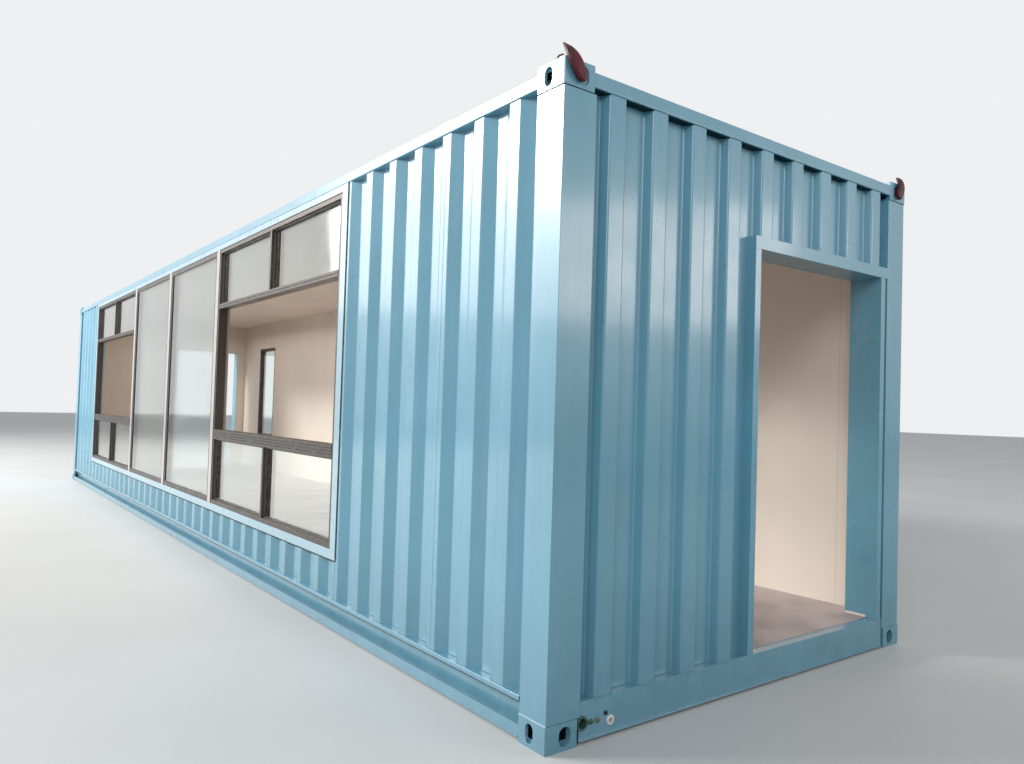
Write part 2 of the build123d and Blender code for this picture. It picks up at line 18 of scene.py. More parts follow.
import bmesh
import bpy
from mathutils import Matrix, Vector


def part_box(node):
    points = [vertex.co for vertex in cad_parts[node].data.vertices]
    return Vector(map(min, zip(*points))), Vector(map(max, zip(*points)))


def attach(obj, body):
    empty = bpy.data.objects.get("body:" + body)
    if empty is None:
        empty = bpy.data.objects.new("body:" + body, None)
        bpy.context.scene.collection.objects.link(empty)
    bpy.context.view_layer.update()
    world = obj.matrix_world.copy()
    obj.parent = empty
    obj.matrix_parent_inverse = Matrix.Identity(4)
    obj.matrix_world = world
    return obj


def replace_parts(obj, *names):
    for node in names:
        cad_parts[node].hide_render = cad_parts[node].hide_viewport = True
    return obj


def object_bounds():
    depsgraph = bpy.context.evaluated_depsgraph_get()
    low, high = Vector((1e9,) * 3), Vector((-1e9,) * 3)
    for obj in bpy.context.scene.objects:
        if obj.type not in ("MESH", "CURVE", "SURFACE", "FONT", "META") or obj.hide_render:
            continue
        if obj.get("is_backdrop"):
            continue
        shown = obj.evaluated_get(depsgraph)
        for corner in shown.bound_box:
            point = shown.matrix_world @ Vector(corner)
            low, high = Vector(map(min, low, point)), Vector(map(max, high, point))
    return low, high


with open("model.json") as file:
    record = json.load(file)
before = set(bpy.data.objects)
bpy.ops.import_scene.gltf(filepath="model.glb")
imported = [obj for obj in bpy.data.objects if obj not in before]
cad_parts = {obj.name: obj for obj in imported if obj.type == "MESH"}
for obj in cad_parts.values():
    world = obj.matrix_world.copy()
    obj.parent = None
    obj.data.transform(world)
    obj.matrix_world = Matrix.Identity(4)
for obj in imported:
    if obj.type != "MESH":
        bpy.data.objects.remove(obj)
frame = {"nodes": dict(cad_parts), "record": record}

scene = bpy.context.scene
scene.view_settings.view_transform = "Standard"
nodes = frame["nodes"]
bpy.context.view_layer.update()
casting_low, casting_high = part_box("corner_castings_top")
half_length, half_width, roof_height = casting_high.x, casting_high.y, casting_high.z
frame_inset, sheet_inset = 0.004, 0.010  # how far rails and sheets lie behind the castings
print("container", *(round(v, 3) for v in (2 * half_length, 2 * half_width, roof_height)), "m")
print(len(nodes), "pieces from the CAD model")

# %% [markdown]
# ## Where the photographer stood
#
# A camera can be guessed by eye, but a container has so many straight edges that its
# place can be worked out instead. The corner castings, the rails and the doorway were
# matched to their places in the photograph, which gave the spot, the turn and the lens.
# The photograph was cropped a little off centre, so the camera has a small sideways
# shift. That keeps upright edges upright, which turning the camera wouldn't.

# %% Camera
lens_data = bpy.data.cameras.new("lens")
lens_data.sensor_width = 36.0
lens_data.lens = 28.17
lens_data.shift_x = -0.1043
lens_data.shift_y = 0.0036
lens_data.clip_end = 300.0
camera = bpy.data.objects.new("camera", lens_data)
camera.location = (8.4796, -2.9786, 1.2715)
camera.rotation_euler = [math.radians(angle) for angle in (91.713, -1.539, 49.000)]
scene.collection.objects.link(camera)
scene.camera = camera
near_corner = Vector((half_length, -half_width, 1.3))
print("camera", round((camera.location - near_corner).length, 2), "m from the near corner")

# %% [markdown]
# ## A small kit for finishes
#
# A finish on a real surface is never one flat colour. Paint has patches and fine
# streaks, board has joints, metal has a grain. All of them can be made of a few nodes:
# soft patches, a way to spread a value over another range, a mix of two colours, and a
# bump. These helpers are named once here, so that each finish below reads as a recipe.
# Positions are the pieces' own, in metres, so a patch has its true size and nothing
# depends on an unwrapped map.

# %% Helpers for finishes
def new_finish(name, colour, roughness, **sockets):
    """A material whose main shader holds a colour, a roughness and any other named values."""
    finish = bpy.data.materials.new(name)
    finish.use_nodes = True
    inputs = finish.node_tree.nodes["Principled BSDF"].inputs
    inputs["Base Color"].default_value = (*colour, 1)
    inputs["Roughness"].default_value = roughness
    for key, value in sockets.items():
        inputs[key.replace("_", " ")].default_value = value
    return finish


def add(tree, kind, **settings):
    """A new node of a kind in a node tree, with its settings."""
    node = tree.nodes.new("ShaderNode" + kind)
    for key, value in settings.items():
        setattr(node, key, value)
    return node


def join(source, into):
    """A wire from one socket to another. A socket knows which tree it is in."""
    source.id_data.links.new(source, into)


def give(finish, key, source):
    """A wire into a socket of a finish's main shader."""
    join(source, finish.node_tree.nodes["Principled BSDF"].inputs[key])


def patches(finish, scale, detail=3.0, stretch=(1, 1, 1)):
    """Soft random patches from 0 to 1. A larger stretch makes them shorter along that axis."""
    tree = finish.node_tree
    place, squeeze, noise = add(tree, "TexCoord"), add(tree, "Mapping"), add(tree, "TexNoise")
    squeeze.inputs["Scale"].default_value = stretch
    noise.inputs["Scale"].default_value = scale
    noise.inputs["Detail"].default_value = detail
    join(place.outputs["Object"], squeeze.inputs["Vector"])
    join(squeeze.outputs["Vector"], noise.inputs["Vector"])
    return noise.outputs["Fac"]


def spread(value, low, high, new_low=0.0, new_high=1.0):
    """A value between low and high spread over a new range, and held at its ends."""
    ranger = add(value.id_data, "MapRange")
    join(value, ranger.inputs["Value"])
    limits = {"From Min": low, "From Max": high, "To Min": new_low, "To Max": new_high}
    for key, number in limits.items():
        ranger.inputs[key].default_value = number
    return ranger.outputs["Result"]


def below(value, start, end):
    """1 for a value up to start, and 0 from end on."""
    return spread(value, start, end, 1.0, 0.0)


def sum_of(operation, first, second=None):
    """A sum on one socket, or on a socket and a second socket or number."""
    node = add(first.id_data, "Math", operation=operation)
    join(first, node.inputs[0])
    if isinstance(second, float):
        node.inputs[1].default_value = second
    elif second is not None:
        join(second, node.inputs[1])
    return node.outputs[0]


def all_of(outcome, *values):
    """1 only where every value is 1."""
    for value in values:
        outcome = sum_of("MULTIPLY", outcome, value)
    return outcome


def mix_colours(share, first, second):
    """A mix of two colours, each a colour or a socket, by a share from 0 to 1."""
    mixer = add(share.id_data, "Mix", data_type="RGBA")
    join(share, mixer.inputs["Factor"])
    for colour, socket in ((first, mixer.inputs[6]), (second, mixer.inputs[7])):
        if isinstance(colour, tuple):
            socket.default_value = (*colour, 1)
        else:
            join(colour, socket)
    return mixer.outputs[2]


def two_tone(finish, share, first, second):
    """Two colours for a finish, mixed by a share."""
    give(finish, "Base Color", mix_colours(share, first, second))


def shade_of(colour, factor):
    """A colour made darker or lighter."""
    return tuple(min(1.0, channel * factor) for channel in colour)


def axis_value(finish, axis):
    """The place along X, Y or Z, in metres."""
    place, split = add(finish.node_tree, "TexCoord"), add(finish.node_tree, "SeparateXYZ")
    join(place.outputs["Object"], split.inputs[0])
    return split.outputs[axis]


def bumps(finish, *layers):
    """Bumps one on the other, each a pattern and its height in metres."""
    under = None
    for pattern, height in layers:
        bump = add(finish.node_tree, "Bump")
        bump.inputs["Distance"].default_value = height
        join(pattern, bump.inputs["Height"])
        if under is not None:
            join(under, bump.inputs["Normal"])
        under = bump.outputs["Normal"]
    give(finish, "Normal", under)


def mix_shaders(share, first, second, into):
    """A mix of two shaders by a share, joined to an output."""
    mixer = add(share.id_data, "MixShader")
    for source, socket in zip((share, first, second), mixer.inputs):
        join(source, socket)
    join(mixer.outputs[0], into)


def seen_rays(tree):
    """1 for rays from the camera, a shine or a pane of glass, and 0 for all others."""
    ray = add(tree, "LightPath").outputs
    seen = sum_of("MAXIMUM", ray["Is Camera Ray"], ray["Is Glossy Ray"])
    return sum_of("MAXIMUM", seen, ray["Is Transmission Ray"])


print("kit for finishes is ready")

# %% [markdown]
# ## Floor and light
#
# The container stands on a wide floor, in an even light from all round. Rays from the
# camera, a shine or a pane of glass meet a brighter, pale backdrop, because a mirror
# needs something to mirror. The floor, too, looks pale to those rays, and is a darker
# grey for the light that it throws back, so that the lower walls aren't lit from below.
#
# Five soft lamps do the rest. The front lamp is so high that its light falls through the
# glazing on to the foot of the rear wall, and the end lamp gives the end wall its sheen.
# The far lamp is what the front wall mirrors: its lower edge is where the white at the
# top of the wall ends. The corner lamp brightens the near corner, and a weak room lamp
# stands for the daylight that goes round the room.

# %% Floor
def build_mesh(name, parts, sharp_above=35):
    """One mesh from (points, faces) pairs. Folds above an angle in degrees stay sharp."""
    work = bmesh.new()
    for points, faces in parts:
        corners = [work.verts.new(point) for point in points]
        for face in faces:
            work.faces.new([corners[i] for i in face]).smooth = True
    bmesh.ops.recalc_face_normals(work, faces=work.faces)
    work.normal_update()
    for edge in work.edges:
        edge.smooth = not edge.is_manifold or edge.calc_face_angle() < math.radians(sharp_above)
    mesh = bpy.data.meshes.new(name)
    work.to_mesh(mesh)
    work.free()
    return mesh


reach = 60.0
floor_corners = [(-reach, -reach, 0), (reach, -reach, 0), (reach, reach, 0), (-reach, reach, 0)]
floor_mesh = build_mesh("studio_floor", [(floor_corners, [(0, 1, 2, 3)])])
studio_floor = bpy.data.objects.new("studio_floor", floor_mesh)
scene.collection.objects.link(studio_floor)
studio_floor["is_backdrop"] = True

grey_underside = (0.27, 0.27, 0.265)
studio_finish = new_finish("studio_floor", grey_underside, 0.6)
floor_clouds = spread(patches(studio_finish, 0.6, 5.0), 0.35, 0.65)
pale = mix_colours(floor_clouds, (0.60, 0.60, 0.59), (0.64, 0.64, 0.63))
two_tone(studio_finish, seen_rays(studio_finish.node_tree), grey_underside, pale)
floor_mesh.materials.append(studio_finish)
print("floor", 2 * reach, "m square in", studio_finish.name)

# %% World and lamps
world = bpy.data.worlds.new("studio")
scene.world = world
world.use_nodes = True
sky = world.node_tree
sky.nodes.clear()


def light_all_round(colour, strength):
    """One plain light from every side."""
    node = add(sky, "Background")
    node.inputs["Color"].default_value = (*colour, 1)
    node.inputs["Strength"].default_value = strength
    return node.outputs[0]


mix_shaders(seen_rays(sky), light_all_round((0.88, 0.94, 1.0), 0.42),
            light_all_round((0.86, 0.87, 0.88), 1.0), add(sky, "OutputWorld").inputs["Surface"])


def soft_lamp(name, place, target, width, height, watts, colour):
    """A rectangular lamp at a place, turned to face a target."""
    data = bpy.data.lights.new(name, "AREA")
    data.shape = "RECTANGLE"
    data.size = width
    data.size_y = height
    data.energy = watts
    data.color = colour
    lamp = bpy.data.objects.new(name, data)
    lamp.location = place
    lamp.rotation_mode = "QUATERNION"
    lamp.rotation_quaternion = (Vector(target) - Vector(place)).to_track_quat("-Z", "Y")
    scene.collection.objects.link(lamp)
    return lamp


soft_lamp("front_lamp", (-9.0, -15.0, 9.8), (0.5, -1.2, 1.0), 8.0, 3.0, 4100, (1.0, 0.985, 0.96))
soft_lamp("end_lamp", (13.2, 5.2, 3.6), (6.0, 0.0, 1.6), 5.5, 1.9, 190, (1.0, 0.94, 0.88))
soft_lamp("far_lamp", (-14.9, -12.5, 10.6), (4.0, -1.2, 1.8), 8.5, 13.0, 1200, (1.0, 1.0, 1.0))
soft_lamp("corner_lamp", (15.0, -11.0, 7.5), (6.0, -0.5, 1.6), 8.0, 6.0, 640, (1.0, 0.98, 0.95))
room_lamp = soft_lamp("room_lamp", (-1.5, 0.1, 2.30), (-1.5, 0.1, 0.0), 8.0, 1.6, 34, (1.0, 0.99, 0.97))
room_lamp.visible_camera = room_lamp.visible_glossy = room_lamp.visible_transmission = False

# %% [markdown]
# ## Sky-blue gloss paint
#
# The container was sprayed in one light blue after it was cut. Sprayed gloss isn't a
# mirror: its skin has a faint orange peel, the thin sheet under it bulges by less than
# a millimetre, and the coat is a little thicker in some places. Near the ground a second
# colour is mixed in: a darker blue on the walls and the frame, which is painted shade,
# and a pale dust on the roof and under the floor. One function makes this paint, so that
# the frame, the surround of the glazing and the parts under the floor can have it in
# their own colour and their own mix near the ground. Two of the paints get a second
# colour: a near-black blue in the hollows of the castings is painted shade, and the
# mullions between the outer posts of the glazing are cream.

# %% Gloss paint
sky_blue, surround_blue = (0.150, 0.375, 0.500), (0.330, 0.520, 0.620)
# the darker blue is painted shade near the ground; the pale colour is real dust
pale_dust, low_painted_shade = (0.30, 0.30, 0.28), (0.055, 0.125, 0.165)


def gloss_paint(name, colour, dust_and_shade_height=0.60, dust_and_shade_most=0.45, waves=0.0042, dust_and_shade_colour=low_painted_shade):
    """Sprayed gloss paint with a second colour near the ground: by default a darker blue, which is painted
    shade, and pale dust where that is given.
    """
    finish = new_finish(name, colour, 0.3, Coat_Weight=0.6, Coat_Roughness=0.12)
    cloudy = spread(patches(finish, 1.3), 0.35, 0.65)
    tint = mix_colours(cloudy, shade_of(colour, 0.94), shade_of(colour, 1.05))
    streaky = spread(patches(finish, 1.0, 4.0, (22, 22, 0.7)), 0.50, 0.78, 0.0, 0.10)
    tint = mix_colours(streaky, tint, (0.46, 0.60, 0.66))
    low_down = below(axis_value(finish, "Z"), 0.0, dust_and_shade_height)
    speckle = spread(patches(finish, 9.0, 6.0), 0.35, 0.75, 0.6 * dust_and_shade_most, dust_and_shade_most)
    # near the ground the second colour: painted shade in the dark default, dust in the pale one
    two_tone(finish, all_of(low_down, speckle), tint, dust_and_shade_colour)
    give(finish, "Roughness", spread(patches(finish, 5.0, 4.0), 0.3, 0.7, 0.24, 0.38))
    bumps(finish, (patches(finish, 2.4, 1.0), waves), (patches(finish, 320.0, 1.0), 0.00012))
    return finish


blue_paint = gloss_paint("blue_paint", sky_blue)
surround_paint = gloss_paint("surround_paint", surround_blue, dust_and_shade_most=0.1, waves=0.0012)
underfloor_paint = gloss_paint("underfloor_paint", (0.110, 0.250, 0.330),
                               dust_and_shade_height=2.0, dust_and_shade_most=0.6, dust_and_shade_colour=pale_dust)
roof_paint = gloss_paint("roof_paint", (0.170, 0.380, 0.490),
                         dust_and_shade_height=6.0, dust_and_shade_most=0.35, dust_and_shade_colour=pale_dust)
casting_paint = gloss_paint("casting_paint", sky_blue)
post_paint = gloss_paint("glazing_post_paint", surround_blue, dust_and_shade_most=0.1, waves=0.0012)


def repaint(finish, where, colour):
    """A second colour over the first one, wherever a value is 1."""
    own = finish.node_tree.nodes["Principled BSDF"].inputs["Base Color"].links[0].from_socket
    two_tone(finish, where, own, colour)


def from_middle(finish, axis):
    """How far a place is from the container's middle along an axis."""
    value = axis_value(finish, axis)
    if axis == "Z":
        value = sum_of("SUBTRACT", value, roof_height / 2)
    return sum_of("ABSOLUTE", value)


# the hollow of a casting ends this far from the container's middle, on each axis
height = from_middle(casting_paint, "Z")
hollow_shade = all_of(below(from_middle(casting_paint, "X"), 6.0645, 6.0655),
                   below(from_middle(casting_paint, "Y"), 1.2050, 1.2055),
                   spread(height, 1.2025, 1.2030), below(height, 1.2680, 1.2685))
# a near-black blue in the hollows of the castings: painted shade
repaint(casting_paint, hollow_shade, (0.010, 0.024, 0.050))

along = axis_value(post_paint, "X")
between_posts = all_of(spread(along, -4.25, -4.20), below(along, 3.90, 3.95))
repaint(post_paint, between_posts, (0.50, 0.47, 0.43))
print("paints", [paint.name for paint in (blue_paint, surround_paint, underfloor_paint,
                                          roof_paint, casting_paint, post_paint)])

# %% [markdown]
# ## Anodised window bars and clear glass
#
# The bars are extruded aluminium, anodised to a dark bronze. Extruding leaves a very
# fine grain along the bar, and the anodised skin mirrors softly, so the bars look pale
# where they face the light at a low angle. The glass is a real slab that bends light.
# Lamps would leave the room dark behind such a slab, because their light would need a
# lucky path through it, so for rays sent towards a lamp the pane is plain clear.

# %% Bronze and glass
bronze = new_finish("bronze_aluminium", (0.10, 0.082, 0.070), 0.36, Metallic=0.75)
grain = spread(patches(bronze, 60.0, 2.0, (6, 6, 1)), 0.3, 0.7)
two_tone(bronze, grain, (0.092, 0.076, 0.066), (0.112, 0.093, 0.081))
give(bronze, "Roughness", spread(patches(bronze, 14.0, 3.0), 0.3, 0.7, 0.30, 0.44))
bumps(bronze, (grain, 0.00004))

glass = new_finish("window_glass", (0.93, 0.97, 0.96), 0.0, Transmission_Weight=1.0, IOR=1.45)
give(glass, "Roughness", spread(patches(glass, 3.0, 5.0), 0.35, 0.75, 0.0, 0.06))
tree = glass.node_tree
plain_clear = add(tree, "BsdfTransparent")
plain_clear.inputs["Color"].default_value = (0.965, 0.975, 0.972, 1)
ray = add(tree, "LightPath").outputs
mix_shaders(sum_of("MAXIMUM", ray["Is Shadow Ray"], ray["Is Diffuse Ray"]),
            tree.nodes["Principled BSDF"].outputs[0], plain_clear.outputs[0],
            tree.nodes["Material Output"].inputs["Surface"])
print("finishes", bronze.name, glass.name)

# %% [markdown]
# ## Boards, floor sheet and small parts
#
# The room is lined with smooth cream boards, a bit over a metre wide, that meet in a
# hair-thin joint. The floor has a dull greyish pink sheet with foot marks. The pipe ends
# and cable glands that come out at the near sill are plastic and rubber, and the lifting
# hooks are forged steel with old dark red paint, worn through in spots.

# %% Board, floor sheet, rubber and plastic
cream = (0.79, 0.70, 0.61)
cream_board = new_finish("lining_board", cream, 0.55)
# one step is a board of 1.15 m along X, and the sum below is 0 at every joint
board_place = spread(axis_value(cream_board, "X"), -11.5, 11.5, -10.0, 10.0)
joint = below(sum_of("PINGPONG", board_place, 0.5), 0.0, 0.0016)
cloudy = spread(patches(cream_board, 1.6, 4.0), 0.3, 0.7)
tint = mix_colours(cloudy, shade_of(cream, 0.95), shade_of(cream, 1.03))
two_tone(cream_board, joint, tint, shade_of(cream, 0.45))
bumps(cream_board, (patches(cream_board, 3.0, 2.0), 0.002), (patches(cream_board, 150.0, 2.0), 0.0001))

pink_sheet = new_finish("floor_covering", (0.42, 0.36, 0.36), 0.5)
marks = spread(patches(pink_sheet, 4.0, 8.0), 0.42, 0.72)
two_tone(pink_sheet, marks, (0.49, 0.415, 0.41), (0.38, 0.325, 0.32))
give(pink_sheet, "Roughness", spread(marks, 0.0, 1.0, 0.42, 0.62))
bumps(pink_sheet, (patches(pink_sheet, 240.0, 2.0), 0.00015))


def moulded(name, colour, roughness):
    """Moulded plastic or rubber with a faint skin texture and some dust."""
    finish = new_finish(name, colour, roughness)
    dusty = spread(patches(finish, 30.0, 4.0), 0.45, 0.75, 0.0, 0.35)
    two_tone(finish, dusty, colour, (0.34, 0.33, 0.31))
    bumps(finish, (patches(finish, 500.0, 2.0), 0.00008))
    return finish


green_pipe = moulded("dark_green_pipe", (0.016, 0.075, 0.060), 0.4)
olive_gland = moulded("olive_gland", (0.13, 0.15, 0.11), 0.5)
green_gland = moulded("green_gland", (0.035, 0.10, 0.085), 0.45)
white_pipe = moulded("white_pipe", (0.72, 0.72, 0.70), 0.35)
black_rubber = moulded("black_rubber", (0.012, 0.012, 0.013), 0.6)
# a near-black finish for the dark strips that are painted shade
dark_shade_finish = moulded("dark_painted_shade", (0.022, 0.034, 0.040), 0.85)
dull_weld = moulded("dull_weld", (0.085, 0.235, 0.325), 0.8)

hook_paint = new_finish("hook_paint", (0.10, 0.012, 0.018), 0.5, Specular_IOR_Level=0.3)
worn = spread(patches(hook_paint, 38.0, 6.0), 0.55, 0.63)
faded = spread(patches(hook_paint, 12.0, 3.0), 0.35, 0.65)
tint = mix_colours(faded, (0.130, 0.012, 0.022), (0.050, 0.008, 0.014))
two_tone(hook_paint, worn, tint, (0.030, 0.022, 0.018))
give(hook_paint, "Roughness", spread(worn, 0.0, 1.0, 0.38, 0.62))
bumps(hook_paint, (patches(hook_paint, 60.0, 5.0), 0.001))

chain_steel = new_finish("chain_steel", (0.06, 0.055, 0.05), 0.45, Metallic=0.8)
rusty = spread(patches(chain_steel, 120.0, 4.0), 0.4, 0.65)
two_tone(chain_steel, rusty, (0.05, 0.047, 0.045), (0.12, 0.06, 0.035))

# a near-black teal for the strips under the end headers: painted shade
header_shade = new_finish("header_shade", (0.003, 0.030, 0.042), 0.9, Specular_IOR_Level=0.2)
two_tone(header_shade, patches(header_shade, 6.0), (0.002, 0.024, 0.034), (0.005, 0.036, 0.050))
print("finishes", cream_board.name, pink_sheet.name, hook_paint.name, chain_steel.name)

# %% [markdown]
# ## Give each CAD piece its finish
#
# The record names a material slot for every CAD piece. The finish that belongs to a slot
# goes on all pieces of that slot, and a few pieces get a variant of it.

# %% Finishes on the CAD pieces
slot_finish = {
    "blue_paint": blue_paint,
    "surround_paint": surround_paint,
    "bronze_aluminium": bronze,
    "window_glass": glass,
    "lining_board": cream_board,
    "floor_covering": pink_sheet,
    "stub_plastic": green_pipe,
    "hook_paint": hook_paint,
}
own_finish = {
    "floor_cross_members": underfloor_paint,
    "roof_panel": roof_paint,
    "glazing_posts": post_paint,
    "corner_castings_top": casting_paint,
    "corner_castings_bottom": casting_paint,
}
for subpart in frame["record"]["subparts"]:
    piece = nodes[subpart["node"]]
    for material_slot in piece.material_slots:
        material_slot.material = own_finish.get(piece.name, slot_finish[subpart["material_slot"]])

# %% [markdown]
# ## Soft edges
#
# Rolled, folded and cast steel never ends in a perfectly sharp edge, and it is the thin
# line of light on a rounded edge that tells the eye that a thing is metal. The CAD pieces
# keep their own meshes, so the rounding is done by modifiers that sit on top: one joins the
# corners that the file format had split, one melts flat triangles together, one rounds
# the edges and the last one keeps flat faces flat to the light.

# %% Round the edges of the CAD pieces
def soften(piece, radius):
    """Modifiers that round the sharp edges of a piece."""
    piece.modifiers.new("join_corners", "WELD").merge_threshold = 0.00002
    melt = piece.modifiers.new("melt_flat_faces", "DECIMATE")
    melt.decimate_type = "DISSOLVE"
    melt.angle_limit = math.radians(0.5)
    edge = piece.modifiers.new("round_edges", "BEVEL")
    edge.width = radius
    edge.segments = 2
    edge.limit_method = "ANGLE"
    edge.angle_limit = math.radians(38)
    edge.use_clamp_overlap = True
    piece.modifiers.new("flat_stays_flat", "WEIGHTED_NORMAL").keep_sharp = False


edge_radius = {
    0.0030: ("corner_castings_top", "corner_castings_bottom"),
    0.0020: ("door_end_posts", "far_end_posts", "glazing_posts", "glazing_sill", "glazing_head"),
    0.0012: ("front_bottom_rail", "rear_bottom_rail"),
    0.0010: ("door_end_sill", "far_end_sill", "door_end_door_jambs", "far_end_door_jambs",
             "door_end_door_head", "far_end_door_head", "near_window_frame", "far_window_frame",
             "fixed_window_frames", "rear_window_frame"),
}
for radius, names in edge_radius.items():
    for name in names:
        soften(nodes[name], radius)
print("rounded", sum(map(len, edge_radius.values())), "pieces")

# %% [markdown]
# ## The corrugated walls
#
# A wall sheet is pressed from 2 mm steel. The press can't make a sharp crease: every
# fold is an arc, about 16 mm in radius on the long walls and 12 mm on the ends, and light
# rolls softly over it. The CAD sheets have plain creases, so each is replaced by a sheet
# on the same line with its folds rounded. The line is drawn once as corner points, its
# corners are turned into arcs, and it is then run up the wall in rows, leaving out what
# was cut away for the glazing and the rear window.

# %% Line of a pressed sheet
def wave_corners(start, end, centres, wave):
    """Corner points (place, depth) of a corrugated sheet from start to end."""
    mouth, floor, depth = wave

    def depth_at(place):
        reach = min(abs(place - centre) for centre in centres)
        return depth * min(1.0, max(0.0, (mouth / 2 - reach) / (mouth / 2 - floor / 2)))

    folds = [c + s for c in centres for s in (-mouth / 2, -floor / 2, floor / 2, mouth / 2)]
    places = [start] + [p for p in folds if start + 0.004 < p < end - 0.004] + [end]
    return [Vector((place, depth_at(place))) for place in places]


def round_folds(corners, radius, steps=4):
    """The same line with an arc at each fold."""
    line = [corners[0]]
    for before, fold, after in zip(corners, corners[1:], corners[2:]):
        back, on = before - fold, after - fold
        turn = math.pi - back.angle(on)
        cut = min(radius * math.tan(turn / 2), 0.45 * back.length, 0.45 * on.length)
        first, last = fold + back.normalized() * cut, fold + on.normalized() * cut
        for step in range(steps + 1):
            t = step / steps
            line.append(first * (1 - t) ** 2 + fold * 2 * t * (1 - t) + last * t ** 2)
    return line + [corners[-1]]


def add_places(line, places):
    """The line with extra points exactly at some places."""
    made = list(line)
    for place in places:
        for i, (a, b) in enumerate(zip(made, made[1:])):
            if a.x < place - 1e-6 and place + 1e-6 < b.x:
                made.insert(i + 1, a.lerp(b, (place - a.x) / (b.x - a.x)))
                break
    return made


def direction(line, i):
    """The direction of a line at one of its points."""
    return (line[min(i + 1, len(line) - 1)] - line[max(i - 1, 0)]).normalized()


def moved(line, out):
    """The line of a sheet moved outwards, square to itself."""
    ways = [direction(line, i) for i in range(len(line))]
    return [here + Vector((way.y, -way.x)) * out for here, way in zip(line, ways)]


# a recess is given by the widths of its mouth and floor and by its depth
long_wave, long_fold_radius = (0.206, 0.070, 0.036), 0.016
end_wave, end_fold_radius = (0.150, 0.114, 0.045), 0.012
first_recess, long_count, end_pitch, end_count = 0.204, 43, 0.235, 10
wave_pitch = (2 * half_length - 2 * first_recess) / (long_count - 1)
long_centres = [-half_length + first_recess + k * wave_pitch for k in range(long_count)]
end_centres = [(k - (end_count - 1) / 2) * end_pitch for k in range(end_count)]


def end_line(node):
    """The line of a sheet on an end wall, as wide as its CAD sheet."""
    low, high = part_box(node)
    return round_folds(wave_corners(low.y, high.y, end_centres, end_wave), end_fold_radius, 5)


print("recesses", long_count, "on a long wall,", end_count, "on an end wall")

# %% Sheets in place of the CAD ones
def finish_piece(name, parts, finish, sharp_above=35):
    """A piece that rides on the container, in a finish, with smooth arcs and crisp sharp edges."""
    piece = bpy.data.objects.new(name, build_mesh(name, parts, sharp_above))
    scene.collection.objects.link(piece)
    piece.data.materials.append(finish)
    piece.modifiers.new("flat_stays_flat", "WEIGHTED_NORMAL").keep_sharp = True
    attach(piece, "root")
    return piece


sheet_thickness = 0.002


def sheet_part(line, rows, to_point, hole=None):
    """Points and faces of a sheet: its line run up through rows of heights, with an optional hole."""
    both_sides = (line, moved(line, -sheet_thickness))
    points = [to_point(spot.x, spot.y, z) for side in both_sides for z in rows for spot in side]
    count, shift = len(line), len(line) * len(rows)
    cells = set()
    for r in range(len(rows) - 1):
        for c in range(count - 1):
            x, z = (line[c].x + line[c + 1].x) / 2, (rows[r] + rows[r + 1]) / 2
            if hole is None or not (hole[0] < x < hole[1] and hole[2] < z < hole[3]):
                cells.add((r, c))
    faces = []
    for r, c in cells:
        a, b, d, e = r * count + c, r * count + c + 1, (r + 1) * count + c + 1, (r + 1) * count + c
        faces += [(a, b, d, e), (a + shift, e + shift, d + shift, b + shift)]
        sides = {(r - 1, c): (a, b), (r + 1, c): (d, e), (r, c - 1): (e, a), (r, c + 1): (b, d)}
        for beside, (i, j) in sides.items():
            if beside not in cells:
                faces.append((j, i, i + shift, j + shift))
    used = sorted({i for face in faces for i in face})
    renumber = {old: new for new, old in enumerate(used)}
    return [points[i] for i in used], [tuple(renumber[i] for i in face) for face in faces]


def wall_sheet(node, line, rows, to_point, hole=None):
    """A pressed sheet that stands for a CAD sheet."""
    part = sheet_part(line, rows, to_point, hole)
    piece = finish_piece(node + "_sheet", [part], blue_paint)
    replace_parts(piece, node)
    print(piece.name, len(piece.data.polygons), "faces")


def front_point(place, depth, z):
    return (place, -half_width + sheet_inset + depth, z)


def rear_point(place, depth, z):
    return (place, half_width - sheet_inset - depth, z)


def door_end_point(place, depth, z):
    return (half_length - sheet_inset - depth, place, z)


def far_end_point(place, depth, z):
    return (-half_length + sheet_inset + depth, place, z)


ends = {"door_end": door_end_point, "far_end": far_end_point}
rear_low, rear_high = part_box("rear_wall")
wall_foot, wall_top = rear_low.z, rear_high.z
surround_low, surround_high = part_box("glazing_sill")
window_low, window_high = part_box("rear_window_frame")
long_line = round_folds(wave_corners(-rear_high.x, rear_high.x, long_centres, long_wave), long_fold_radius)
wall_sheet("front_wall", add_places(long_line, [surround_low.x, surround_high.x]),
           [wall_foot, surround_low.z, wall_top], front_point,
           (surround_low.x, surround_high.x, surround_low.z, wall_top))
wall_sheet("rear_wall", add_places(long_line, [window_low.x, window_high.x]),
           [wall_foot, window_low.z, window_high.z, wall_top], rear_point,
           (window_low.x, window_high.x, window_low.z, window_high.z))
for end, to_point in ends.items():
    for node in (f"{end}_wall_side", f"{end}_wall_over"):
        low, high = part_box(node)
        wall_sheet(node, end_line(node), [low.z, high.z], to_point)

# %% [markdown]
# ## Welds, lips and joints on the steel
#
# Steel sheets are joined by electric welding, which leaves a small raised bead. One runs
# along the foot of every corrugated wall and follows its wave, and an upright one stands
# where two pressed sheets meet, each fourth wave. The bottom rail has a rolled lip along
# its top, a dark strip under it that is the lip's painted shadow, and a foot that bends
# slightly outwards. All of them stay within the four millimetres by which the frame lies
# back behind the corner castings.
#
# They all come from one idea: rings of points, each joined to the next by a band of
# faces. A bar is two rings with closed ends, a loop is four that come back to the first,
# a turned ring is many of them round a line, and a bead is a row of them along a wave.

